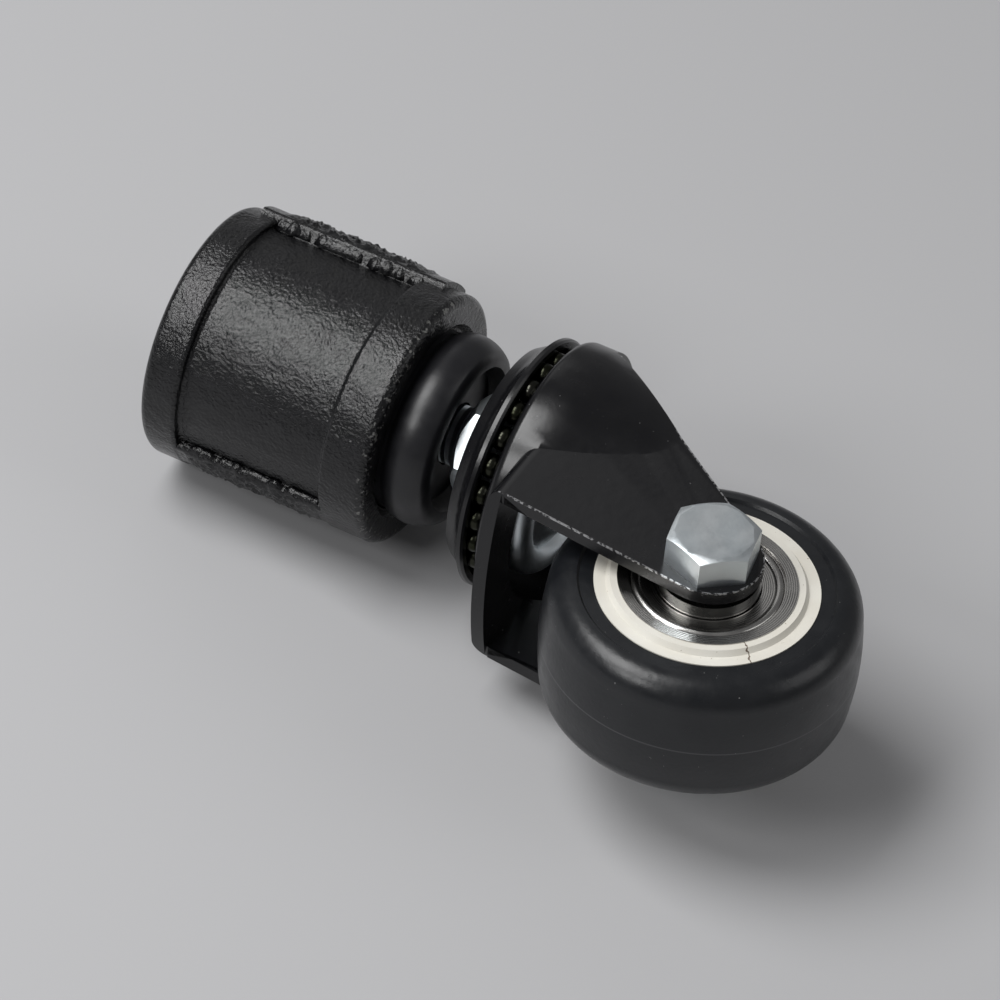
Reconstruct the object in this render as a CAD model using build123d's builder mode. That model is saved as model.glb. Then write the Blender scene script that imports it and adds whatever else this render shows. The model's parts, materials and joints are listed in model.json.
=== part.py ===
"""Levelling castor for pipe furniture.

A malleable-iron pipe coupling carries a moulded plug with a captive nut.
A threaded stem screws through the nut and levels the castor. Under its
hexagon sit the top race plate, two rings of balls, the pressed fork and the
lower race cup, held together by the peened end of the stem. The wheel trails
towards -X and turns on two shielded ball bearings along an axle bolt.

Frame: millimetres, +Z up along the stem, origin at the centre of the mouth
of the pipe socket, axle along Y, bolt head on the -Y side.
"""
import os
from math import cos, radians, sin, sqrt

from build123d import *

os.makedirs("parts", exist_ok=True)

# ---------------------------------------------------------------- coupling
coupling_length = 40.5
band_radius = 21.2
body_radius = 19.7
upper_band = 6.5
lower_band = 8.0
band_edge_round = 1.4
step_round = 0.7
thread_minor_radius = 15.15
lower_mouth_chamfer = 1.45
socket_mouth_chamfer = 0.3
socket_depth = 18.5
relief_radius = 16.2
relief_length = 3.5
rib_top_radius = 22.2
wide_rib_width = 11.0
wide_rib_angle = -46.0
narrow_rib_width = 6.5
narrow_rib_angle = 150.0
narrow_rib_drop = 1.1
rib_round = 0.8

# -------------------------------------------------------------------- plug
plug_fit = 0.05
plug_top = -21.0
plug_collar_radius = 16.1
plug_collar_drop = 3.9
plug_collar_centre = -coupling_length - plug_collar_drop
plug_lip_radius = 14.7
plug_lip_drop = 7.3
plug_lip = -coupling_length - plug_lip_drop
plug_end_drop = 7.8
plug_end = -coupling_length - plug_end_drop
plug_dish_radius = 11.2
plug_dish_depth = 2.6
stem_clearance = 0.35

# ------------------------------------------------------------ captive nut
nut_flats = 16.0
nut_height = 8.0
nut_floor_rise = 0.3
nut_floor = nut_floor_rise - coupling_length
nut_pocket_clearance = 0.12
nut_chamfer = 0.8

# -------------------------------------------------------------------- stem
stem_radius = 5.0
thread_clearance = 0.06
stem_top = -21.2
stem_tip_chamfer = 1.0
stem_hex_flats = 16.0
stem_hex_turn = 12.0
hex_gap = 0.6
hex_top = plug_end - hex_gap
hex_height = 4.5
hex_chamfer = 1.4
kingpin_radius = 6.0
kingpin_tail_radius = 5.0
rivet_head_radius = 7.0
rivet_head_height = 1.5

# --------------------------------------------------------------- top plate
plate_top = hex_top - hex_height
plate_thickness = 1.9
plate_flat_radius = 16.0
plate_crest_radius = 18.0
plate_crest_drop = 0.7
plate_neck_radius = 19.5
plate_neck_drop = 3.1
plate_rim_radius = 21.0
plate_rim_drop = 4.1
plate_rim_depth = 9.6
plate_rim_bottom = hex_top - plate_rim_depth
plate_rim_round = 0.35
seat_clearance = 0.03

# ------------------------------------------------------------- swivel balls
upper_ball_radius = 2.0
upper_track_radius = 17.6
upper_ball_count = 24
upper_ball_depth = 10.1
upper_ball_z = hex_top - upper_ball_depth
lower_ball_radius = 1.5
lower_track_radius = 13.8
lower_ball_count = 24
race_clearance = 0.05

# --------------------------------------------------------------------- fork
sheet = 2.2
leg_face = 17.6
boss_depth = 11.8
boss_top = hex_top - boss_depth
boss_rise = 3.3
crown_flat = boss_top - boss_rise
boss_radius = 22.0
boss_round = 1.6
bulge_depth = 23.3
bulge_bottom = boss_top - bulge_depth
bend_radius = 2.7
crown_front = -27.6
crown_front_corner = -25.0
leg_front = -24.6
leg_back = 12.9
leg_back_depth = 6.3
leg_back_corner = boss_top - leg_back_depth
leg_tip_radius = 8.2
kingpin_hole_radius = 6.6

# ---------------------------------------------------------------- lower cup
cup_sheet = 0.9
cup_rim_rise = 1.1
cup_groove_rise = 0.8
cup_dome_drop = 0.9

# -------------------------------------------------------------------- wheel
trail = 20.2
axle_depth = 39.2
axle_drop = boss_top - axle_depth
wheel_radius = 25.0
tread_crown = 0.5
tyre_half_width = 11.7
shoulder_round = 4.4
face_land = 2.6
shoulder_axial = 4.6
hub_radius = 17.5
shoulder_radial = min(shoulder_round, wheel_radius - tread_crown - hub_radius - face_land)
tyre_ridge_radius = hub_radius + face_land
hub_lock_depth = 1.6
hub_lock_half_width = 2.5
tyre_ridge_width = 0.4
tyre_ridge_height = 0.45
tyre_face_recess = 0.35
hub_face = 11.55
hub_step_radius = 15.7
hub_lip = 12.45

# ----------------------------------------------------------------- bearings
bearing_bore = 6.0
bearing_radius = 14.0
bearing_width = 8.0
bearing_face = 12.6
outer_ring_land = 12.2
inner_ring_land = 8.2
bearing_ball_radius = 2.381
bearing_pitch_radius = 10.1
bearing_ball_count = 8
groove_clearance = 0.02
cage_half_width = 2.85
cage_thickness = 1.2
cage_pocket_clearance = 0.06
shield_sheet = 0.35
shield_recess = 0.45
shield_rim_radius = 11.85
shield_roll_radius = 10.9
shield_roll_height = 0.5
shield_bore = 8.4
press_gap = 0.01

# --------------------------------------------------------------- axle parts
bolt_radius = 3.98
bolt_flats = 13.0
bolt_head_height = 5.3
bolt_head_chamfer = 0.75
bolt_turn = -10.0
bolt_point_chamfer = 0.8
bolt_hole_radius = 4.1
bush_bore = 4.05
bush_flange_radius = 7.9
bush_flange_thickness = 1.6
bush_step_radius = 6.7
bush_sleeve = 7.2
bush_fit = 0.02
spacer_radius = 8.0
axle_nut_flats = 13.0
axle_nut_body = 6.2
axle_nut_crown = 1.8
axle_nut_crown_radius = 5.6
axle_nut_chamfer = 0.6
lock_ring_radius = 5.0
lock_ring_bore = 4.0
bolt_length = 45.0

# ---------------------------------------------------------- derived places
wheel_centre = (-trail, 0, axle_drop)
axle_line = Axis(wheel_centre, (0, 1, 0))
wheel_section = Plane(origin=wheel_centre, x_dir=(1, 0, 0), z_dir=(0, 0, 1))
bearing_inner_face = bearing_face - bearing_width
bearing_middle = bearing_face - bearing_width / 2
leg_inner = leg_face - sheet
stem_hex_bottom = hex_top - hex_height
plate_under = plate_top - plate_thickness
boss_under = boss_top - sheet
crown_under = crown_flat - sheet
lower_ball_z = boss_under - race_clearance - lower_ball_radius
cup_race_radius = lower_ball_radius + race_clearance
cup_outer_radius = cup_race_radius + cup_sheet
cup_bottom = lower_ball_z - cup_outer_radius
cup_groove = cup_bottom + cup_groove_rise
cup_centre = cup_groove - cup_dome_drop
cup_centre_radius = rivet_head_radius + 1.0
cup_seat = cup_centre + cup_sheet


def axle_plane(y):
    """Plane across the axle at y, looking along +Y."""
    return Plane(origin=(-trail, y, axle_drop), x_dir=(1, 0, 0), z_dir=(0, 1, 0))


def save(piece, name):
    """Label a finished piece and write it as its own STEP file."""
    piece.part.label = name
    export_step(piece.part, f"parts/{name}.step")


# ------------------------------------------------------- ribs of the coupling
rib_base = (relief_radius + body_radius) / 2
with BuildPart() as coupling_ribs:
    for rib_angle, rib_width, rib_top in (
        (wide_rib_angle, wide_rib_width, rib_top_radius),
        (narrow_rib_angle, narrow_rib_width, rib_top_radius - narrow_rib_drop),
    ):
        with BuildSketch(Plane.XY.offset(-upper_band / 2).rotated((0, 0, rib_angle))):
            Rectangle(rib_top, rib_width, align=(Align.MIN, Align.CENTER))
            Circle(rib_top, mode=Mode.INTERSECT)
            Circle(rib_base, mode=Mode.SUBTRACT)
        extrude(amount=upper_band / 2 + lower_band / 2 - coupling_length)
    top_edges = coupling_ribs.edges().filter_by(Axis.Z).filter_by(
        lambda edge: Vector(edge.center().X, edge.center().Y).length > body_radius
    )
    fillet(top_edges, rib_round)

# ------------------------------------------------------------ pipe coupling
with BuildPart() as pipe_coupling:
    with BuildSketch(Plane.XZ):
        with BuildLine():
            Polyline(
                (thread_minor_radius, -socket_mouth_chamfer),
                (thread_minor_radius + socket_mouth_chamfer, 0),
                (band_radius, 0),
                (band_radius, -upper_band),
                (body_radius, -upper_band),
                (body_radius, lower_band - coupling_length),
                (band_radius, lower_band - coupling_length),
                (band_radius, -coupling_length),
                (thread_minor_radius + lower_mouth_chamfer, -coupling_length),
                (thread_minor_radius, lower_mouth_chamfer - coupling_length),
                (thread_minor_radius, -socket_depth - relief_length),
                (relief_radius, -socket_depth - relief_length),
                (relief_radius, -socket_depth),
                (thread_minor_radius, -socket_depth),
                close=True,
            )
        make_face()
    revolve(axis=Axis.Z)
    circles = pipe_coupling.edges().filter_by(GeomType.CIRCLE)
    band_edges = circles.filter_by(lambda edge: edge.radius > band_radius - 0.01).sort_by(Axis.Z)
    step_edges = circles.filter_by(lambda edge: abs(edge.radius - body_radius) < 0.01)
    fillet([band_edges[0], band_edges[-1]], band_edge_round)
    fillet(band_edges[1:-1] + step_edges, step_round)
    add(coupling_ribs.part)
save(pipe_coupling, "pipe_coupling")

# ---------------------------------------------------------------- stem plug
plug_radius = thread_minor_radius - plug_fit
with BuildPart() as stem_plug:
    with BuildSketch(Plane.XZ):
        with BuildLine():
            Line((0, plug_top), (plug_radius, plug_top))
            Line((plug_radius, plug_top), (plug_radius, -coupling_length))
            ThreePointArc(
                (plug_radius, -coupling_length),
                (plug_collar_radius, plug_collar_centre),
                (plug_lip_radius, plug_lip),
            )
            Line((plug_lip_radius, plug_lip), (plug_lip_radius - 1.0, plug_end))
            Line((plug_lip_radius - 1.0, plug_end), (plug_dish_radius + 1.2, plug_end))
            Line(
                (plug_dish_radius + 1.2, plug_end),
                (plug_dish_radius, plug_end + plug_dish_depth),
            )
            Line((plug_dish_radius, plug_end + plug_dish_depth), (0, plug_end + plug_dish_depth))
            Line((0, plug_end + plug_dish_depth), (0, plug_top))
        make_face()
    revolve(axis=Axis.Z)
    with BuildSketch(Plane.XY.offset(plug_top)):
        RegularPolygon(nut_flats / 2 + nut_pocket_clearance, 6, major_radius=False)
    extrude(amount=nut_floor - plug_top, mode=Mode.SUBTRACT)
    with BuildSketch(Plane.XY.offset(plug_top)):
        Circle(stem_radius + stem_clearance)
    extrude(amount=plug_end - plug_top, mode=Mode.SUBTRACT)
save(stem_plug, "stem_plug")

# -------------------------------------------------------------- captive nut
with BuildPart() as captive_nut:
    with BuildSketch(Plane.XY.offset(nut_floor)):
        RegularPolygon(nut_flats / 2, 6, major_radius=False)
    extrude(amount=nut_height)
    with BuildSketch(Plane.XZ):
        with BuildLine():
            Polyline(
                (0, nut_floor),
                (nut_flats / 2, nut_floor),
                (nut_flats / 2 + 2, nut_floor + nut_chamfer * 1.6),
                (nut_flats / 2 + 2, nut_floor + nut_height - nut_chamfer * 1.6),
                (nut_flats / 2, nut_floor + nut_height),
                (0, nut_floor + nut_height),
                close=True,
            )
        make_face()
    revolve(axis=Axis.Z, mode=Mode.INTERSECT)
    with BuildSketch(Plane.XY.offset(nut_floor)):
        Circle(stem_radius + thread_clearance)
    extrude(amount=nut_height, mode=Mode.SUBTRACT)
save(captive_nut, "captive_nut")

# ------------------------------------------------------- hexagon of the stem
with BuildPart() as stem_hex:
    with BuildSketch(Plane.XY.offset(stem_hex_bottom)):
        RegularPolygon(stem_hex_flats / 2, 6, major_radius=False, rotation=stem_hex_turn)
    extrude(amount=hex_height)
    with BuildSketch(Plane.XZ):
        with BuildLine():
            Polyline(
                (0, stem_hex_bottom),
                (stem_hex_flats, stem_hex_bottom),
                (stem_hex_flats, hex_top - hex_chamfer),
                (stem_hex_flats / sqrt(3), hex_top - hex_chamfer),
                (stem_hex_flats / 2 - 0.4, hex_top),
                (0, hex_top),
                close=True,
            )
        make_face()
    revolve(axis=Axis.Z, mode=Mode.INTERSECT)

# ------------------------------------------------------------ threaded stem
with BuildPart() as threaded_stem:
    with BuildSketch(Plane.XZ):
        with BuildLine():
            Polyline(
                (0, stem_top),
                (stem_radius - stem_tip_chamfer, stem_top),
                (stem_radius, stem_top - stem_tip_chamfer),
                (stem_radius, stem_hex_bottom),
                (stem_radius, plate_under),
                (kingpin_radius, plate_under),
                (kingpin_radius, cup_seat),
                (kingpin_tail_radius, cup_seat),
                (kingpin_tail_radius, cup_centre),
                (rivet_head_radius, cup_centre),
                (rivet_head_radius - 0.6, cup_centre - rivet_head_height * 0.65),
                (rivet_head_radius - 2.6, cup_centre - rivet_head_height),
                (0, cup_centre - rivet_head_height),
                close=True,
            )
        make_face()
    revolve(axis=Axis.Z)
    add(stem_hex.part)
save(threaded_stem, "threaded_stem")

# ---------------------------------------------------------- top race plate
race_radius = upper_ball_radius + race_clearance
race_inner_angle = radians(135)
rim_inner_radius = upper_track_radius + sqrt(
    race_radius**2 - (plate_rim_bottom - upper_ball_z) ** 2
)
with BuildPart() as top_plate:
    with BuildSketch(Plane.XZ):
        with BuildLine():
            race_start = (
                upper_track_radius + race_radius * cos(race_inner_angle),
                upper_ball_z + race_radius * sin(race_inner_angle),
            )
            Polyline(
                (rim_inner_radius, plate_rim_bottom),
                (plate_rim_radius - plate_rim_round, plate_rim_bottom),
                (plate_rim_radius, plate_rim_bottom + plate_rim_round),
                (plate_rim_radius, plate_top - plate_rim_drop),
                (plate_neck_radius, plate_top - plate_neck_drop),
                (plate_crest_radius, plate_top - plate_crest_drop),
                (plate_flat_radius, plate_top),
                (stem_radius + seat_clearance, plate_top),
                (stem_radius + seat_clearance, plate_under),
                (race_start[0] - plate_thickness * 0.8, plate_under),
                race_start,
            )
            ThreePointArc(
                race_start,
                (upper_track_radius, upper_ball_z + race_radius),
                (rim_inner_radius, plate_rim_bottom),
            )
        make_face()
    revolve(axis=Axis.Z)
save(top_plate, "top_plate")

# ------------------------------------------------------------ swivel balls
for name, radius, track, count, height in (
    ("upper_balls", upper_ball_radius, upper_track_radius, upper_ball_count, upper_ball_z),
    ("lower_balls", lower_ball_radius, lower_track_radius, lower_ball_count, lower_ball_z),
):
    with BuildPart() as ball_ring:
        with Locations((0, 0, height)):
            with PolarLocations(track, count, start_angle=180 / count):
                Sphere(radius)
    save(ball_ring, name)

# --------------------------------------------------------------------- fork
with BuildPart() as fork:
    # outside of the channel, with its bends, and of the drawn round crown
    with BuildSketch(Plane.XY.offset(crown_flat)):
        with BuildLine():
            Line((crown_front_corner, -leg_face), (leg_back, -leg_face))
            ThreePointArc((leg_back, -leg_face), (boss_radius, 0), (leg_back, leg_face))
            Line((leg_back, leg_face), (crown_front_corner, leg_face))
            ThreePointArc(
                (crown_front_corner, leg_face), (crown_front, 0), (crown_front_corner, -leg_face)
            )
        make_face()
    extrude(amount=axle_drop - leg_tip_radius - 1 - crown_flat)
    bends = fork.edges().filter_by(Axis.X).group_by(Axis.Z)[-1]
    fillet(bends, bend_radius)
    with BuildSketch(Plane.XZ):
        with BuildLine():
            Line((0, boss_top), (boss_radius - boss_round, boss_top))
            RadiusArc(
                (boss_radius - boss_round, boss_top),
                (boss_radius, boss_top - boss_round),
                boss_round,
            )
            Line((boss_radius, boss_top - boss_round), (boss_radius, crown_under))
            Line((boss_radius, crown_under), (leg_face, bulge_bottom))
            Line((leg_face, bulge_bottom), (0, bulge_bottom))
            Line((0, bulge_bottom), (0, boss_top))
        make_face()
    revolve(axis=Axis.Z)
    # the blank seen from the side: crown strip above, tapered legs below
    with BuildSketch(Plane.XZ):
        with BuildLine():
            CenterArc((-trail, axle_drop), leg_tip_radius, 0, 360)
            Polyline((leg_front, boss_top), (leg_back, boss_top), (leg_back, leg_back_corner))
        make_hull()
        with Locations((0, crown_under)):
            Rectangle(
                4 * boss_radius, boss_top - crown_under + 1, align=(Align.CENTER, Align.MIN)
            )
    extrude(amount=2 * boss_radius, both=True, mode=Mode.INTERSECT)
    # inside of the channel and of the crown
    with BuildSketch(Plane.XY.offset(crown_under)):
        Rectangle(4 * boss_radius, 2 * leg_inner)
    extrude(amount=axle_drop - leg_tip_radius - 1 - crown_under, mode=Mode.SUBTRACT)
    with BuildSketch(Plane.XZ):
        with BuildLine():
            Polyline(
                (0, boss_under),
                (boss_radius - sheet, boss_under),
                (boss_radius - sheet, crown_under),
                (leg_face - sheet, bulge_bottom),
                (0, bulge_bottom),
                close=True,
            )
        make_face()
    revolve(axis=Axis.Z, mode=Mode.SUBTRACT)
    # ball groove, kingpin hole and axle holes
    with BuildSketch(Plane.XZ):
        with Locations((upper_track_radius, upper_ball_z)):
            Circle(race_radius)
    revolve(axis=Axis.Z, mode=Mode.SUBTRACT)
    with BuildSketch(Plane.XY.offset(boss_top + 1)):
        Circle(kingpin_hole_radius)
    extrude(amount=-2 * sheet, mode=Mode.SUBTRACT)
    with BuildSketch(axle_plane(0)):
        Circle(bolt_hole_radius)
    extrude(amount=2 * boss_radius, both=True, mode=Mode.SUBTRACT)
save(fork, "fork")

# ---------------------------------------------------------- lower race cup
with BuildPart() as lower_race_cup:
    with BuildSketch(Plane.XZ):
        with BuildLine():
            rim_in = lower_track_radius + cup_race_radius
            rim_out = lower_track_radius + cup_outer_radius
            rim_top = lower_ball_z + cup_rim_rise
            land_in = lower_track_radius - cup_race_radius
            land_out = lower_track_radius - cup_outer_radius
            Line((rim_in, rim_top), (rim_out, rim_top))
            Line((rim_out, rim_top), (rim_out, lower_ball_z))
            ThreePointArc(
                (rim_out, lower_ball_z),
                (lower_track_radius, cup_bottom),
                (land_out, lower_ball_z - 0.6 * lower_ball_radius),
            )
            Polyline(
                (land_out, lower_ball_z - 0.6 * lower_ball_radius),
                (cup_centre_radius, cup_centre),
                (kingpin_tail_radius + seat_clearance, cup_centre),
                (kingpin_tail_radius + seat_clearance, cup_seat),
                (cup_centre_radius - cup_sheet, cup_seat),
                (land_in, lower_ball_z),
            )
            ThreePointArc(
                (land_in, lower_ball_z),
                (lower_track_radius, lower_ball_z - cup_race_radius),
                (rim_in, lower_ball_z),
            )
            Line((rim_in, lower_ball_z), (rim_in, rim_top))
        make_face()
    revolve(axis=Axis.Z)
save(lower_race_cup, "lower_race_cup")

# --------------------------------------------------------------------- tyre
with BuildPart() as tyre:
    tread_edge = tyre_half_width - shoulder_axial
    tread_edge_radius = wheel_radius - tread_crown
    face_radius = tread_edge_radius - shoulder_radial
    with BuildSketch(wheel_section):
        with BuildLine():
            ThreePointArc(
                (tread_edge_radius, -tread_edge),
                (wheel_radius, 0),
                (tread_edge_radius, tread_edge),
            )
            for side in (1, -1):
                EllipticalCenterArc(
                    (face_radius, side * tread_edge),
                    shoulder_radial,
                    shoulder_axial,
                    arc_size=90 * side,
                )
                Polyline(
                    (face_radius, side * tyre_half_width),
                    (tyre_ridge_radius - tyre_ridge_width, side * (tyre_half_width - tyre_ridge_height)),
                    (hub_radius, side * (tyre_half_width - tyre_face_recess)),
                    (hub_radius, side * hub_lock_half_width),
                )
                Line(
                    (hub_radius, side * hub_lock_half_width),
                    (hub_radius - hub_lock_depth, side * hub_lock_half_width),
                )
            Line(
                (hub_radius - hub_lock_depth, -hub_lock_half_width),
                (hub_radius - hub_lock_depth, hub_lock_half_width),
            )
        make_face()
    revolve(axis=axle_line)
save(tyre, "tyre")

# ---------------------------------------------------------------- wheel hub
with BuildPart() as wheel_hub:
    with BuildSketch(wheel_section):
        with BuildLine():
            profile = [
                (outer_ring_land, bearing_inner_face),
                (bearing_radius + press_gap, bearing_inner_face),
                (bearing_radius + press_gap, hub_lip),
                (hub_step_radius - 0.6, hub_lip),
                (hub_step_radius, hub_face),
                (hub_radius, hub_face),
                (hub_radius, hub_lock_half_width),
                (hub_radius - hub_lock_depth, hub_lock_half_width),
            ]
            mirrored = [(radius, -y) for radius, y in reversed(profile)]
            Polyline(*profile, *mirrored, close=True)
        make_face()
    revolve(axis=axle_line)
save(wheel_hub, "wheel_hub")

# ----------------------------------------------------------------- bearings
ball_centre_groove = bearing_ball_radius + groove_clearance
for side, end in ((-1, "near"), (1, "far")):
    middle = side * bearing_middle
    with BuildPart() as outer_ring:
        with BuildSketch(wheel_section):
            with Locations(((bearing_radius + outer_ring_land) / 2, middle)):
                Rectangle(bearing_radius - outer_ring_land, bearing_width)
            with Locations((bearing_pitch_radius, middle)):
                Circle(ball_centre_groove, mode=Mode.SUBTRACT)
        revolve(axis=axle_line)
    save(outer_ring, f"bearing_outer_ring_{end}")

    with BuildPart() as inner_ring:
        with BuildSketch(wheel_section):
            with Locations(((bearing_bore + inner_ring_land) / 2, middle)):
                Rectangle(inner_ring_land - bearing_bore, bearing_width)
            with Locations((bearing_pitch_radius, middle)):
                Circle(ball_centre_groove, mode=Mode.SUBTRACT)
        revolve(axis=axle_line)
    save(inner_ring, f"bearing_inner_ring_{end}")

    with BuildPart() as bearing_balls:
        with Locations(axle_plane(middle)):
            with PolarLocations(bearing_pitch_radius, bearing_ball_count):
                Sphere(bearing_ball_radius)
    save(bearing_balls, f"bearing_balls_{end}")

    with BuildPart() as ball_cage:
        with BuildSketch(wheel_section):
            with Locations((bearing_pitch_radius, middle)):
                Rectangle(cage_thickness, 2 * cage_half_width)
        revolve(axis=axle_line)
        with Locations(axle_plane(middle)):
            with PolarLocations(bearing_pitch_radius, bearing_ball_count):
                Cylinder(
                    bearing_ball_radius + cage_pocket_clearance,
                    2 * cage_thickness,
                    rotation=(0, 90, 0),
                    mode=Mode.SUBTRACT,
                )
    save(ball_cage, f"ball_cage_{end}")

    with BuildPart() as bearing_shields:
        for face in (1, -1):
            plane_y = middle + face * (bearing_width / 2 - shield_recess)
            inside = -face * shield_sheet
            roll = face * shield_roll_height
            with BuildSketch(wheel_section):
                with BuildLine():
                    Polyline(
                        (outer_ring_land - press_gap, plane_y),
                        (outer_ring_land - press_gap, plane_y + inside),
                        (shield_roll_radius, plane_y + inside),
                        (shield_bore, plane_y + inside),
                        (shield_bore, plane_y),
                        (shield_roll_radius - shield_roll_height, plane_y),
                    )
                    ThreePointArc(
                        (shield_roll_radius - shield_roll_height, plane_y),
                        (shield_roll_radius, plane_y + roll * 0.6),
                        (shield_rim_radius, plane_y),
                    )
                    Line((shield_rim_radius, plane_y), (outer_ring_land - press_gap, plane_y))
                make_face()
            revolve(axis=axle_line)
    save(bearing_shields, f"bearing_shields_{end}")

    with BuildPart() as bush:
        with BuildSketch(wheel_section):
            with BuildLine():
                sleeve_radius = bearing_bore - bush_fit
                Polyline(
                    (bush_bore, side * (bearing_face - bush_sleeve)),
                    (sleeve_radius, side * (bearing_face - bush_sleeve)),
                    (sleeve_radius, side * bearing_face),
                    (bush_flange_radius, side * bearing_face),
                    (bush_flange_radius, side * (bearing_face + bush_flange_thickness)),
                    (bush_step_radius, side * (bearing_face + bush_flange_thickness)),
                    (bush_step_radius, side * leg_inner),
                    (bush_bore, side * leg_inner),
                    close=True,
                )
            make_face()
        revolve(axis=axle_line)
    save(bush, f"axle_bush_{end}")

with BuildPart() as bearing_spacer:
    with BuildSketch(axle_plane(0)):
        Circle(spacer_radius)
        Circle(bearing_bore + bush_fit, mode=Mode.SUBTRACT)
    extrude(amount=bearing_inner_face, both=True)
save(bearing_spacer, "bearing_spacer")

# --------------------------------------------------------------- axle bolt
head_corner = bolt_flats / sqrt(3)
with BuildPart() as axle_bolt:
    with BuildSketch(axle_plane(-leg_face - bolt_head_height)):
        RegularPolygon(bolt_flats / 2, 6, major_radius=False, rotation=bolt_turn)
    extrude(amount=bolt_head_height)
    with BuildSketch(wheel_section):
        with BuildLine():
            head_top = -leg_face - bolt_head_height
            Polyline(
                (0, head_top),
                (bolt_flats / 2 - 0.4, head_top),
                (head_corner + 0.2, head_top + bolt_head_chamfer),
                (head_corner + 0.2, -leg_face),
                (0, -leg_face),
                close=True,
            )
        make_face()
    revolve(axis=axle_line, mode=Mode.INTERSECT)
    with BuildSketch(axle_plane(-leg_face)):
        Circle(bolt_radius)
    extrude(amount=bolt_length)
    chamfer(axle_bolt.edges().sort_by(Axis.Y)[-1], bolt_point_chamfer)
save(axle_bolt, "axle_bolt")

# ----------------------------------------------------------------- axle nut
nut_corner = axle_nut_flats / sqrt(3)
nut_end = leg_face + axle_nut_body
with BuildPart() as axle_nut:
    with BuildSketch(axle_plane(leg_face)):
        RegularPolygon(axle_nut_flats / 2, 6, major_radius=False)
    extrude(amount=axle_nut_body)
    with BuildSketch(wheel_section):
        with BuildLine():
            Polyline(
                (0, leg_face),
                (axle_nut_flats / 2, leg_face),
                (nut_corner + 0.2, leg_face + axle_nut_chamfer),
                (nut_corner + 0.2, nut_end - axle_nut_chamfer),
                (axle_nut_flats / 2, nut_end),
                (0, nut_end),
                close=True,
            )
        make_face()
    revolve(axis=axle_line, mode=Mode.INTERSECT)
    with BuildSketch(axle_plane(nut_end)):
        Circle(axle_nut_crown_radius)
    extrude(amount=axle_nut_crown)
    fillet(axle_nut.edges().sort_by(Axis.Y)[-1], axle_nut_chamfer)
    with BuildSketch(axle_plane(leg_face)):
        Circle(bolt_radius + bush_fit)
    extrude(amount=axle_nut_body + axle_nut_crown, mode=Mode.SUBTRACT)
    with BuildSketch(axle_plane(nut_end - 0.2)):
        Circle(lock_ring_radius)
    extrude(amount=axle_nut_crown - 0.2, mode=Mode.SUBTRACT)
save(axle_nut, "axle_nut")

with BuildPart() as nut_lock_ring:
    with BuildSketch(axle_plane(nut_end - 0.2)):
        Circle(lock_ring_radius)
        Circle(lock_ring_bore, mode=Mode.SUBTRACT)
    extrude(amount=axle_nut_crown - 0.2)
save(nut_lock_ring, "nut_lock_ring")
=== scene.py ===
# %% [markdown]
# # A levelling castor
# A castor for pipe furniture: a rough cast pipe coupling in glossy black paint,
# a moulded plug, a levelling screw, a pressed fork and a tyred wheel. The solids
# come in at their real size, so this lesson is about finishes and light.

# %% Load the frame
import json
from math import acos, atan2, cos, radians, sin, tau

import bmesh
import bpy
from mathutils import Matrix, Vector, noise


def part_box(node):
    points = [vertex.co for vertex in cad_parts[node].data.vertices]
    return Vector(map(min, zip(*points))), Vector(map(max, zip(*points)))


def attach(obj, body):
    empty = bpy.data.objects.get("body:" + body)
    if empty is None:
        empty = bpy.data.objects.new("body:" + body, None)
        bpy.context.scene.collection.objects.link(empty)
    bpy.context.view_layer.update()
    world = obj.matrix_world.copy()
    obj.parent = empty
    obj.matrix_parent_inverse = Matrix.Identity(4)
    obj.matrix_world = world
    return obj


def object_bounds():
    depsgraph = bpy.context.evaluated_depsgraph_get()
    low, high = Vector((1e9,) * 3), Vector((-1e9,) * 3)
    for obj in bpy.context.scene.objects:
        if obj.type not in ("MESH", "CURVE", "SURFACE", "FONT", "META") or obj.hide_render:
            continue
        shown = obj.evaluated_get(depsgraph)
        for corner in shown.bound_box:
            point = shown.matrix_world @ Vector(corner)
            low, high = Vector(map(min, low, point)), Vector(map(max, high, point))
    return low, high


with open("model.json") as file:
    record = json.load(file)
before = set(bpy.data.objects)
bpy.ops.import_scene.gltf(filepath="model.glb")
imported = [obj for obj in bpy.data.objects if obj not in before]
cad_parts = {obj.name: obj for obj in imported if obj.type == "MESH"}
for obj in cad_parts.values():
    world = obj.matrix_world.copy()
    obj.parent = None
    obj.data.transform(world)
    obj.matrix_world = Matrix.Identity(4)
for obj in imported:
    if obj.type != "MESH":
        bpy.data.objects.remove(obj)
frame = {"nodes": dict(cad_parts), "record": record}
cad_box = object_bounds()
MM = 0.001
print("castor box in mm:", [[round(v / MM, 1) for v in corner] for corner in cad_box])

# %% [markdown]
# The places that finishes need come from the boxes of the solids: the axle runs
# through the middle of the tyre, and the swivel axis is the frame's own Z. The face
# of a leg is given as a number, because the fork's box goes out to its wider crown.

# %% Key places
tyre_low, tyre_high = (Vector(corner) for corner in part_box("tyre"))
coupling_low, coupling_high = (Vector(corner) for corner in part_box("pipe_coupling"))
bolt_high = Vector(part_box("axle_bolt")[1])
axle = (tyre_low + tyre_high) / 2
leg_face = 17.6 * MM
ORIGIN = (0, 0, 0)
UP = (0, 0, 1)
ALONG_AXLE = (0, 1, 0)
print("axle centre in mm:", [round(v / MM, 1) for v in axle])


# %% [markdown]
# Each form that is made here starts as a bmesh, and this makes an object of it.

# %% Mesh helper
def to_object(name, shape):
    """Makes a linked object from a bmesh, and frees the bmesh."""
    mesh = bpy.data.meshes.new(name)
    shape.to_mesh(mesh)
    shape.free()
    made = bpy.data.objects.new(name, mesh)
    bpy.context.collection.objects.link(made)
    return made


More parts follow.
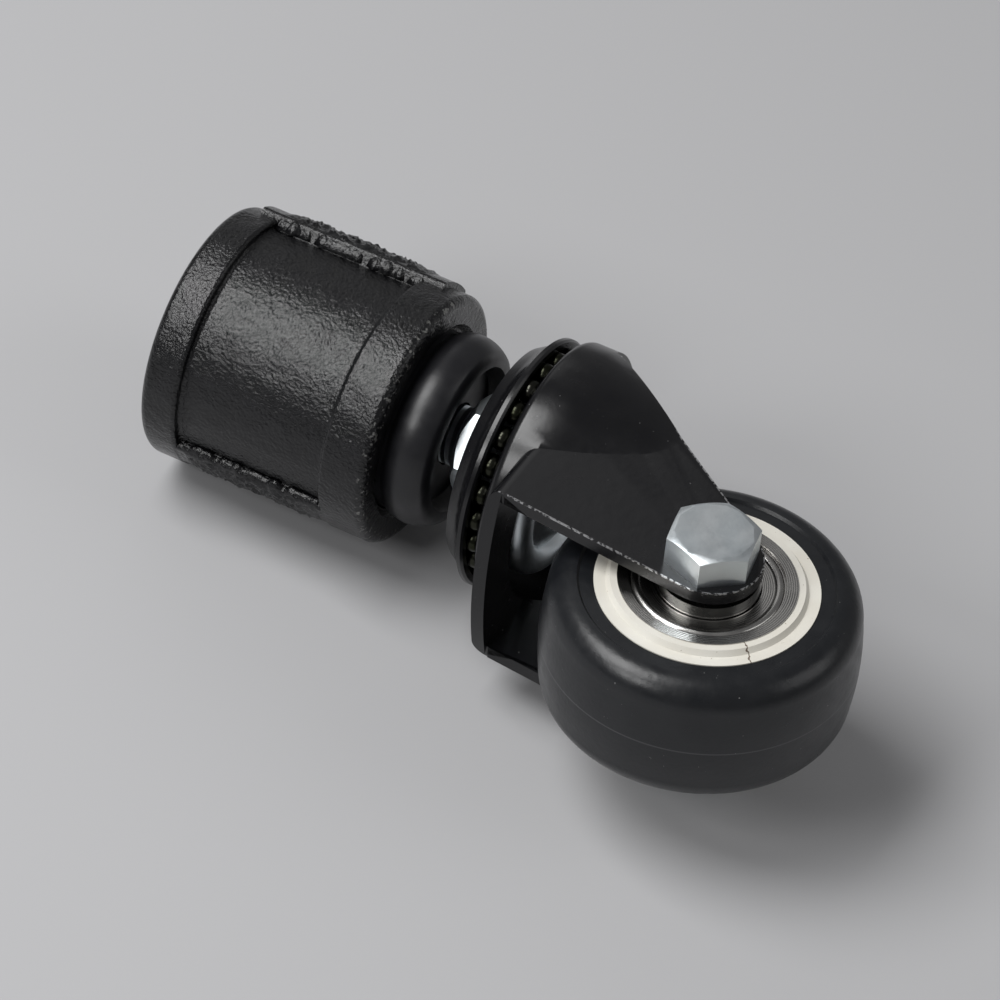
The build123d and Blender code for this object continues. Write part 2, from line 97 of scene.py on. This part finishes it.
# %% [markdown]
# The castor lies on its side. A floor that touches both the coupling and the end
# of the bolt is slightly tilted, so its slope is worked out from those two
# touches. It is see-through from behind, so the far side can be looked at too.

# %% Floor
floor_clearance = 0.2 * MM
band_round = 1.4 * MM
bolt_radius = 4.0 * MM
floor_size = 6.0
coupling_side = coupling_high.y + floor_clearance
bolt_side = bolt_high.y + floor_clearance
touch_span = (coupling_high.z - band_round) - (axle.z + bolt_radius)
slope = (bolt_side - coupling_side) / touch_span
floor_across = Vector((1, 0, 0))
floor_along = Vector((0, -slope, 1)).normalized()
floor_normal = floor_across.cross(floor_along)
turn = Matrix((floor_across, floor_normal.cross(floor_across), floor_normal)).transposed()
middle = Vector((0, coupling_side, coupling_high.z - band_round))

shape = bmesh.new()
bmesh.ops.create_grid(shape, x_segments=1, y_segments=1, size=floor_size / 2)
bmesh.ops.transform(shape, matrix=Matrix.Translation(middle) @ turn.to_4x4(), verts=shape.verts)
floor = to_object("floor", shape)
print("floor slope:", round(slope, 4))


# %% [markdown]
# Node trees are quicker to read when adding a node, and setting it up, takes one
# line, so these small helpers do that. Each mask is 1 where a finish applies.

# %% Node helpers
def add(tree, kind, settings=None, **sockets):
    """Adds one node; settings are its own fields and sockets its input values."""
    made = tree.nodes.new(kind)
    for field, value in (settings or {}).items():
        setattr(made, field, value)
    for name, value in sockets.items():
        socket = made.inputs[int(name[1:])] if name[1:].isdigit() else made.inputs[name.replace("_", " ")]
        if hasattr(value, "is_output"):
            tree.links.new(value, socket)
        else:
            socket.default_value = value
    return made


def places(tree):
    """Object coordinates, in metres in the castor's own frame."""
    return add(tree, "ShaderNodeTexCoord").outputs["Object"]


def math(tree, operation, first, second=0.0):
    """The result of one Math node."""
    return add(tree, "ShaderNodeMath", {"operation": operation}, i0=first, i1=second).outputs[0]


def ramp(tree, value, low, high, out_low=0.0, out_high=1.0):
    """Turns low..high into out_low..out_high, and holds the ends."""
    return add(tree, "ShaderNodeMapRange", None, Value=value, From_Min=low, From_Max=high,
               To_Min=out_low, To_Max=out_high).outputs[0]


def speckle(tree, size, low, high, detail=4.0):
    """Irregular spots of about that size, in metres; more of them as low falls."""
    spots = add(tree, "ShaderNodeTexNoise", None, Vector=places(tree), Scale=1 / size, Detail=detail)
    return ramp(tree, spots.outputs["Fac"], low, high)


def off_plane(tree, point, normal):
    """Signed distance from a plane through point."""
    away = add(tree, "ShaderNodeVectorMath", {"operation": "SUBTRACT"}, i0=places(tree), i1=point)
    return add(tree, "ShaderNodeVectorMath", {"operation": "DOT_PRODUCT"},
               i0=away.outputs[0], i1=normal).outputs["Value"]


def from_axis(tree, centre, across):
    """Distance from an axis; across is 0 along the axis and 1 the other two ways."""
    away = add(tree, "ShaderNodeVectorMath", {"operation": "SUBTRACT"}, i0=places(tree), i1=centre)
    flat = add(tree, "ShaderNodeVectorMath", {"operation": "MULTIPLY"}, i0=away.outputs[0], i1=across)
    return add(tree, "ShaderNodeVectorMath", {"operation": "LENGTH"}, i0=flat.outputs[0]).outputs["Value"]


FADE = 1.5


def near_zero(tree, distance, half_width):
    """1 within half_width of zero, fading to 0 at FADE times that."""
    return ramp(tree, math(tree, "ABSOLUTE", distance), half_width, half_width * FADE, 1.0, 0.0)


# %% [markdown]
# Every finish here is a base colour that varies a little, a roughness that
# varies a little, and a bump at the grain size of the real surface. One function
# makes that, and `wear` then lays a second finish over it where a mask says. Inputs
# 6 and 7 of a Mix node are its two colours, and inputs 2 and 3 its two numbers.

# %% Finish builder
PATCH_GRAINS = 6
DULL_GRAINS = 3


def finish(name, colour, other_colour, metal, rough, rough_spread, grain, depth):
    """A material whose colour, roughness and bump follow noise of grain metres."""
    made = bpy.data.materials.new(name)
    made.use_nodes = True
    tree = made.node_tree
    tree.nodes.clear()
    surface = add(tree, "ShaderNodeBsdfPrincipled", None, Metallic=metal)
    output = add(tree, "ShaderNodeOutputMaterial")
    tree.links.new(surface.outputs[0], output.inputs["Surface"])
    patches = speckle(tree, grain * PATCH_GRAINS, 0.35, 0.65)
    mixed = add(tree, "ShaderNodeMix", {"data_type": "RGBA"}, Factor=patches)
    mixed.inputs[6].default_value = (*colour, 1)
    mixed.inputs[7].default_value = (*other_colour, 1)
    tree.links.new(mixed.outputs[2], surface.inputs["Base Color"])
    dull = ramp(tree, speckle(tree, grain * DULL_GRAINS, 0.3, 0.7), 0, 1,
                rough - rough_spread, rough + rough_spread)
    tree.links.new(dull, surface.inputs["Roughness"])
    fine = add(tree, "ShaderNodeTexNoise", None, Vector=places(tree), Scale=1 / grain, Detail=6.0)
    bump = add(tree, "ShaderNodeBump", None, Strength=1.0, Distance=depth, Height=fine.outputs["Fac"])
    tree.links.new(bump.outputs[0], surface.inputs["Normal"])
    return made


def surface_of(material):
    """The one Principled node of a finish."""
    return next(n for n in material.node_tree.nodes if n.type == "BSDF_PRINCIPLED")


def wear(material, mask, colour, metal=None, rough=None):
    """Lays colour, and metal and roughness if given, over a finish where mask is 1."""
    tree = material.node_tree
    surface = surface_of(material)
    under = surface.inputs["Base Color"].links[0].from_socket
    over = add(tree, "ShaderNodeMix", {"data_type": "RGBA"}, Factor=mask)
    tree.links.new(under, over.inputs[6])
    over.inputs[7].default_value = (*colour, 1)
    tree.links.new(over.outputs[2], surface.inputs["Base Color"])
    if metal is not None:
        tree.links.new(ramp(tree, mask, 0, 1, surface.inputs["Metallic"].default_value, metal),
                       surface.inputs["Metallic"])
    if rough is not None:
        old = surface.inputs["Roughness"].links[0].from_socket
        mixed = add(tree, "ShaderNodeMix", {"data_type": "FLOAT"}, Factor=mask)
        tree.links.new(old, mixed.inputs[2])
        mixed.inputs[3].default_value = rough
        tree.links.new(mixed.outputs[0], surface.inputs["Roughness"])


def groove(material, height, depth):
    """Adds a bump under those that the finish already has."""
    tree = material.node_tree
    deepest = surface_of(material).inputs["Normal"].links[0].from_node
    while deepest.inputs["Normal"].is_linked:
        deepest = deepest.inputs["Normal"].links[0].from_node
    added = add(tree, "ShaderNodeBump", None, Strength=1.0, Distance=depth, Height=height)
    tree.links.new(added.outputs[0], deepest.inputs["Normal"])


BARE_STEEL = (0.52, 0.52, 0.53)
AROUND_Z = (1, 1, 0)
AROUND_Y = (1, 0, 1)

# %% [markdown]
# Malleable iron is cast in sand, so the paint lies on a skin of grains under a
# millimetre across with wider lumps below. The gloss is high, which makes each
# grain glint. The bottom rim is knocked, so bare metal shows there in patches.

# %% Painted casting
iron_grain, iron_lump = 0.55 * MM, 3.2 * MM
rim_bare, rim_painted = 0.5 * MM, 1.3 * MM
edge_painted, edge_bare = 18.6 * MM, 19.6 * MM
iron = finish("black_cast_iron", (0.003, 0.003, 0.0035), (0.006, 0.006, 0.007),
              metal=0.0, rough=0.16, rough_spread=0.05, grain=iron_grain, depth=0.21 * MM)
tree = iron.node_tree
lumps = add(tree, "ShaderNodeTexNoise", None, Vector=places(tree), Scale=1 / iron_lump, Detail=3.0)
groove(iron, lumps.outputs["Fac"], 0.30 * MM)
rim_height = math(tree, "SUBTRACT", off_plane(tree, ORIGIN, UP), coupling_low.z)
rim = ramp(tree, rim_height, rim_bare, rim_painted, 1.0, 0.0)
edge = ramp(tree, from_axis(tree, ORIGIN, AROUND_Z), edge_painted, edge_bare)
chips = math(tree, "MULTIPLY", math(tree, "MULTIPLY", rim, edge), speckle(tree, 0.9 * MM, 0.58, 0.64))
wear(iron, chips, (0.26, 0.26, 0.25), metal=0.8, rough=0.4)

# %% [markdown]
# The plug is moulded nylon, satin and smooth. The zinc plate on the hexagons is
# bluish white and slightly mottled. Enamel on the pressed steel is glossy.

# %% Plug, zinc and enamel
plug = finish("black_plug_plastic", (0.008, 0.008, 0.010), (0.011, 0.011, 0.013),
              metal=0.0, rough=0.36, rough_spread=0.05, grain=0.9 * MM, depth=0.012 * MM)
zinc = finish("zinc_steel", (0.74, 0.80, 0.83), (0.78, 0.82, 0.84),
              metal=1.0, rough=0.38, rough_spread=0.05, grain=0.8 * MM, depth=0.018 * MM)
enamel = finish("black_enamel", (0.004, 0.004, 0.005), (0.006, 0.006, 0.007),
                metal=0.0, rough=0.24, rough_spread=0.04, grain=1.6 * MM, depth=0.020 * MM)

# %% [markdown]
# Paint is thin on a sheared edge and chips first. A mask keeps the chips to the
# outer corner of the near leg: close to the leg's face, and close to one of the
# two straight edges that run down to its rounded tip.

# %% Chips on the fork
tree = enamel.node_tree
edge_reach = 0.17 * MM
skin_reach = 0.20 * MM
tip_radius = 8.2 * MM
leg_top = -60.7 * MM
leg_corner = -67.0 * MM
leg_front, leg_back = -24.6 * MM, 12.9 * MM
tip_begins, tip_full = 2 * MM, 3 * MM


def tip_touch(corner, side):
    """Where the straight edge from a corner of the leg meets its round tip."""
    away = (corner - axle).xz
    turn_to = atan2(away.y, away.x) + side * acos(tip_radius / away.length)
    return axle + tip_radius * Vector((cos(turn_to), 0, sin(turn_to)))


front_corner = Vector((leg_front, axle.y, leg_top))
back_corner = Vector((leg_back, axle.y, leg_corner))
face_skin = near_zero(tree, off_plane(tree, (0, -leg_face, 0), ALONG_AXLE), skin_reach)
leg_edges = ((front_corner, tip_touch(front_corner, 1)), (back_corner, tip_touch(back_corner, -1)))
edge_masks = []
for top, bottom in leg_edges:
    run = (bottom - top).normalized()
    across = Vector((run.z, 0, -run.x))
    edge_masks.append(near_zero(tree, off_plane(tree, top, across), edge_reach))
tip = near_zero(tree, math(tree, "SUBTRACT", from_axis(tree, axle, AROUND_Y), tip_radius), edge_reach)
below_axle = ramp(tree, off_plane(tree, axle, (0, 0, -1)), tip_begins, tip_full)
edge_masks.append(math(tree, "MULTIPLY", tip, below_axle))
either = math(tree, "MAXIMUM", math(tree, "MAXIMUM", *edge_masks[:2]), edge_masks[2])
leg_chips = math(tree, "MULTIPLY", math(tree, "MULTIPLY", either, face_skin),
                 speckle(tree, 0.55 * MM, 0.47, 0.52))
wear(enamel, leg_chips, BARE_STEEL, metal=1.0, rough=0.35)
wear(enamel, speckle(tree, 0.45 * MM, 0.735, 0.76), (0.30, 0.30, 0.30))

# %% [markdown]
# Turned and ground rings carry fine circular lines round the axle. A sine of the
# distance from the axle gives them, as a bump far shallower than the grain.

# %% Steel of the bearing and axle
line_pitch = 0.34 * MM
bearing = finish("bearing_steel", (0.42, 0.41, 0.40), (0.52, 0.51, 0.49),
                 metal=1.0, rough=0.22, rough_spread=0.05, grain=1.2 * MM, depth=0.006 * MM)
turned = finish("turned_steel", (0.11, 0.11, 0.11), (0.17, 0.17, 0.16),
                metal=1.0, rough=0.28, rough_spread=0.06, grain=1.0 * MM, depth=0.008 * MM)
for steel in (bearing, turned):
    tree = steel.node_tree
    rings = math(tree, "SINE", math(tree, "MULTIPLY", from_axis(tree, axle, AROUND_Y), tau / line_pitch))
    groove(steel, rings, 0.004 * MM)
# The balls are far darker than steel: partly grease, partly painted shade for the dark gap between the top
# plate and the fork crown.
ball_grease_and_painted_shade = finish("ball_steel", (0.045, 0.045, 0.038), (0.022, 0.024, 0.014),
               metal=1.0, rough=0.22, rough_spread=0.05, grain=1.0 * MM, depth=0.004 * MM)
cage = finish("cage_steel", (0.44, 0.42, 0.38), (0.52, 0.50, 0.45),
              metal=1.0, rough=0.34, rough_spread=0.06, grain=1.0 * MM, depth=0.006 * MM)
lock_ring = finish("lock_ring_plastic", (0.42, 0.47, 0.52), (0.46, 0.51, 0.56),
                   metal=0.0, rough=0.42, rough_spread=0.05, grain=1.0 * MM, depth=0.006 * MM)

# %% [markdown]
# The hub is cream nylon with a little dirt, and one hairline across its outer
# ring. The tyre is satin, with a moulding line round its middle and a few specks.

# %% Hub and tyre
nylon = finish("white_nylon", (0.78, 0.75, 0.67), (0.84, 0.82, 0.75),
               metal=0.0, rough=0.42, rough_spread=0.06, grain=1.4 * MM, depth=0.02 * MM)
tree = nylon.node_tree
hairline_turn = radians(-130)
hairline_wander, hairline_half = 0.5 * MM, 0.09 * MM
ring_begins, ring_full = 13.4 * MM, 14.0 * MM
near_begins, near_full = 1 * MM, 2 * MM
hairline_way = Vector((cos(hairline_turn), 0, sin(hairline_turn)))
hairline_across = Vector((-hairline_way.z, 0, hairline_way.x))
wander = ramp(tree, speckle(tree, 1.6 * MM, 0.3, 0.7), 0, 1, -hairline_wander, hairline_wander)
hairline = math(tree, "ADD", off_plane(tree, axle, hairline_across), wander)
hairline = near_zero(tree, hairline, hairline_half)
same_side = ramp(tree, off_plane(tree, axle, hairline_way), ring_begins, ring_full)
near_side = ramp(tree, off_plane(tree, axle, (0, -1, 0)), near_begins, near_full)
same_side = math(tree, "MULTIPLY", same_side, near_side)
wear(nylon, math(tree, "MULTIPLY", hairline, same_side), (0.16, 0.12, 0.09))
wear(nylon, speckle(tree, 0.7 * MM, 0.70, 0.74), (0.38, 0.33, 0.26))

rubber = finish("tyre", (0.008, 0.009, 0.011), (0.011, 0.012, 0.014),
                metal=0.0, rough=0.32, rough_spread=0.05, grain=0.9 * MM, depth=0.03 * MM)
tree = rubber.node_tree
parting_half = 0.10 * MM
parting = near_zero(tree, off_plane(tree, axle, ALONG_AXLE), parting_half)
wear(rubber, parting, (0.05, 0.05, 0.054), rough=0.3)
wear(rubber, speckle(tree, 0.5 * MM, 0.735, 0.76), (0.24, 0.24, 0.24))

# %% [markdown]
# The threads of the stem, the bolt and the pipe socket are plain rounds in the
# solids. A height that climbs one pitch a turn is laid on them as a bump, within a
# radius of each axis. A screw's flat end lies within it too, so it gets a swirl.

# %% Threads
WALL_FADE = 1.02
END_FADE = 0.1 * MM


def thread(material, centre, order, around, within, pitch, depth, start):
    """Right-hand grooves within a radius of a screw's axis, past start along it.

    order names the two ways across the axis, then the way along it.
    """
    tree = material.node_tree
    away = add(tree, "ShaderNodeVectorMath", {"operation": "SUBTRACT"}, i0=places(tree), i1=centre)
    split = add(tree, "ShaderNodeSeparateXYZ", None, Vector=away.outputs[0]).outputs
    first, second, along = (split[name] for name in order)
    climb = math(tree, "MULTIPLY", math(tree, "ARCTAN2", second, first), pitch / tau)
    saw = math(tree, "PINGPONG", math(tree, "SUBTRACT", along, climb), pitch / 2)
    inside = ramp(tree, from_axis(tree, centre, around), within, within * WALL_FADE, 1.0, 0.0)
    past = ramp(tree, along, start, start + END_FADE)
    height = math(tree, "MULTIPLY", saw, 2 / pitch)
    groove(material, math(tree, "MULTIPLY", height, math(tree, "MULTIPLY", inside, past)), depth)


thread(zinc, ORIGIN, "XYZ", AROUND_Z,
       within=5.1 * MM, pitch=1.5 * MM, depth=0.9 * MM, start=-48.9 * MM)
thread(zinc, axle, "ZXY", AROUND_Y,
       within=4.05 * MM, pitch=1.25 * MM, depth=0.75 * MM, start=0.0)
thread(iron, ORIGIN, "XYZ", AROUND_Z,
       within=15.4 * MM, pitch=2.309 * MM, depth=1.4 * MM, start=coupling_low.z)

# %% [markdown]
# The solids arrive as loose flat triangles, which would show as facets on every
# round. Modifiers weld them and smooth the shading, but keep real edges sharp.

# %% Give every solid its finish
sharp_edge = radians(30)
weld_gap = 0.001 * MM


def smooth_rounds(solid):
    """Welds a solid's triangles and smooths its shading up to sharp_edge."""
    solid.data.shade_smooth()
    solid.modifiers.new("weld", "WELD").merge_threshold = weld_gap
    solid.modifiers.new("edges", "EDGE_SPLIT").split_angle = sharp_edge
    solid.modifiers.new("normals", "WEIGHTED_NORMAL").keep_sharp = True


finishes = {
    "black_cast_iron": iron, "black_plug_plastic": plug, "zinc_steel": zinc, "ball_steel": ball_grease_and_painted_shade,
    "black_enamel": enamel, "lock_ring_plastic": lock_ring, "turned_steel": turned,
    "bearing_steel": bearing, "cage_steel": cage, "tyre": rubber, "white_nylon": nylon,
}
slots = {part["node"]: part["material_slot"] for part in frame["record"]["subparts"]}
for name, solid in frame["nodes"].items():
    solid.data.materials.clear()
    solid.data.materials.append(finishes[slots[name]])
    smooth_rounds(solid)
print(len(slots), "solids finished")

# %% [markdown]
# The ribs on the casting are ragged: sand tore away from the mould there. A thin
# skin of lumps is laid on each rib. It starts as a grid, is wrapped round the
# coupling, pushed out unevenly, and closed by giving it a thickness.

# %% Ragged skins on the two ribs
steps_across, steps_along = 26, 70
side_waves, side_wave_size = 14, 0.16
lumps_across, lumps_along = 4, 18
roughness, gain, octaves = 0.7, 2.0, 4
side_fade, end_fade, flank_bend = 4, 8, 8
skin_thickness = 0.5 * MM


def rib_skin(name, turn_degrees, half_degrees, radius, flank, low, high, lump, seed):
    """A closed skin over one rib; flank is how far its sides bend down onto the rib."""
    shape = bmesh.new()
    bmesh.ops.create_grid(shape, x_segments=steps_across, y_segments=steps_along, size=0.5)
    for vert in shape.verts:
        across, along = vert.co.x * 2, vert.co.y + 0.5
        ragged = noise.noise(Vector((along * side_waves, seed, 0))) * side_wave_size
        angle = radians(turn_degrees + across * half_degrees * (1 + ragged))
        height = low + (high - low) * along
        spot = Vector((across * lumps_across + seed, along * lumps_along, seed))
        rough = noise.fractal(spot, roughness, gain, octaves)
        fade = (1 - abs(across) ** side_fade) * (1 - abs(along * 2 - 1) ** end_fade)
        reach = radius + lump * (rough * 0.5 + 0.25) * fade - flank * abs(across) ** flank_bend
        vert.co = (cos(angle) * reach, sin(angle) * reach, height)
    bmesh.ops.recalc_face_normals(shape, faces=shape.faces)
    outward = sum(f.normal.xy.dot(f.calc_center_median().xy) for f in shape.faces)
    if outward < 0:
        bmesh.ops.reverse_faces(shape, faces=shape.faces)
    bmesh.ops.solidify(shape, geom=shape.faces, thickness=skin_thickness)
    piece = to_object(name, shape)
    piece.data.shade_smooth()
    piece.data.materials.append(iron)
    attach(piece, "socket")
    print(name, len(piece.data.polygons), "faces")


rib_skin("wide_rib_skin", turn_degrees=-46, half_degrees=17.0, radius=22.2 * MM, flank=2.3 * MM,
         low=-33 * MM, high=-6.5 * MM, lump=1.3 * MM, seed=3.0)
rib_skin("narrow_rib_skin", turn_degrees=150, half_degrees=11.0, radius=21.1 * MM, flank=1.2 * MM,
         low=-32 * MM, high=-7.5 * MM, lump=1.0 * MM, seed=8.0)

# %% [markdown]
# The pressed solid of the fork ends in a straight cut at the front of each leg. The
# real leg tapers forward to a full round tip, so that nose is made here. The tip's
# rim and the edge's upper corner are wrapped in a convex hull, and one cut keeps
# only what lies in front of the solid.

# %% Noses of the two legs
sheet = 2.2 * MM
leg_start = -66.7 * MM
blank_front = -25.0 * MM
rim_segments = 128


def leg_nose(name, side):
    """A closed nose on one leg; side is -1 for the near leg and 1 for the far one."""
    shape = bmesh.new()
    across = side * (leg_face - sheet / 2)
    place = Matrix.Translation((axle.x, across, axle.z)) @ Matrix.Rotation(radians(90), 4, "X")
    bmesh.ops.create_cone(shape, segments=rim_segments, radius1=tip_radius, radius2=tip_radius,
                          depth=sheet, matrix=place)
    bmesh.ops.delete(shape, geom=shape.edges[:] + shape.faces[:], context="EDGES_FACES")
    edge_top, edge_end = leg_edges[0]
    upper = edge_top.lerp(edge_end, (leg_start - edge_top.z) / (edge_end.z - edge_top.z))
    for y in (across - sheet / 2, across + sheet / 2):
        for x in (upper.x, axle.x):
            shape.verts.new((x, y, leg_start))
    bmesh.ops.convex_hull(shape, input=shape.verts)
    bmesh.ops.bisect_plane(shape, geom=shape.verts[:] + shape.edges[:] + shape.faces[:],
                           plane_co=(blank_front, 0, 0), plane_no=(1, 0, 0), clear_outer=True)
    bmesh.ops.holes_fill(shape, edges=[e for e in shape.edges if e.is_boundary])
    bmesh.ops.recalc_face_normals(shape, faces=shape.faces)
    open_edges = sum(1 for e in shape.edges if not e.is_manifold)
    piece = to_object(name, shape)
    piece.data.materials.append(enamel)
    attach(piece, "fork")
    lowest = [round(min(v.co[i] for v in piece.data.vertices) / MM, 1) for i in (0, 1, 2)]
    print(name, len(piece.data.polygons), "faces, open edges:", open_edges, "lowest corner in mm:", lowest)


leg_nose("leg_nose_near", -1)
leg_nose("leg_nose_far", 1)

# %% [markdown]
# A dull floor shows the castor's shadow plainly. Seen from behind it is
# see-through, by the side of the face that a ray meets.

# %% Floor finish
pale = bpy.data.materials.new("pale_floor")
pale.use_nodes = True
tree = pale.node_tree
tree.nodes.clear()
matt = add(tree, "ShaderNodeBsdfDiffuse", None, Color=(0.52, 0.52, 0.53, 1))
clear = add(tree, "ShaderNodeBsdfTransparent")
facing = add(tree, "ShaderNodeNewGeometry").outputs["Backfacing"]
sides = add(tree, "ShaderNodeMixShader", None, i0=facing, i1=matt.outputs[0], i2=clear.outputs[0])
tree.links.new(sides.outputs[0], add(tree, "ShaderNodeOutputMaterial").inputs["Surface"])
floor.data.materials.append(pale)

# %% [markdown]
# Black gloss is seen only by what it reflects. A large softbox stands over the
# castor, a strip lights the coupling's shoulder, and a weak one fills the rest.

# %% Lights
def softbox(name, way, distance, width, height, energy):
    """An area lamp that faces the castor from the direction way."""
    lamp = bpy.data.lights.new(name, "AREA")
    lamp.shape = "RECTANGLE"
    lamp.size, lamp.size_y, lamp.energy = width, height, energy
    stand = bpy.data.objects.new(name, lamp)
    way = Vector(way).normalized()
    stand.matrix_world = (Matrix.Translation(castor_middle + way * distance)
                          @ way.to_track_quat("Z", "Y").to_matrix().to_4x4())
    bpy.context.collection.objects.link(stand)


castor_middle = (Vector(cad_box[0]) + Vector(cad_box[1])) / 2
softbox("overhead", (-0.25, -1.0, 0.45), distance=0.9, width=0.55, height=0.45, energy=6.0)
softbox("shoulder", (-0.78, -0.70, 0.34), distance=0.9, width=0.24, height=0.30, energy=1.9)
softbox("card", (0.75, -0.65, 0.55), distance=1.0, width=0.5, height=0.5, energy=0.32)
softbox("fill", (0.3, -0.6, -0.9), distance=1.1, width=0.6, height=0.6, energy=1.2)
sky = bpy.data.worlds.new("studio")
sky.use_nodes = True
sky.node_tree.nodes["Background"].inputs["Color"].default_value = (0.80, 0.80, 0.81, 1)
sky.node_tree.nodes["Background"].inputs["Strength"].default_value = 0.20
bpy.context.scene.world = sky

# %% [markdown]
# The camera is a long lens about a metre away, level with nothing: the castor
# lies aslant in the frame. Its place, its aim and which way is up fix it.

# %% Camera
camera_place = Vector((-699.0, -705.5, -368.5)) * MM
camera_aim = Vector((0.66686, 0.68242, 0.29932)).normalized()
camera_up = Vector((0.57561, -0.72683, 0.37468))
focal_length, sensor_width = 237.1, 36.0
camera_right = camera_aim.cross(camera_up).normalized()
camera_up = camera_right.cross(camera_aim)
lens = bpy.data.cameras.new("camera")
lens.lens, lens.sensor_width = focal_length, sensor_width
camera = bpy.data.objects.new("camera", lens)
axes = Matrix((camera_right, camera_up, -camera_aim)).transposed().to_4x4()
camera.matrix_world = Matrix.Translation(camera_place) @ axes
bpy.context.collection.objects.link(camera)
bpy.context.scene.camera = camera
bpy.context.scene.view_settings.view_transform = "Standard"
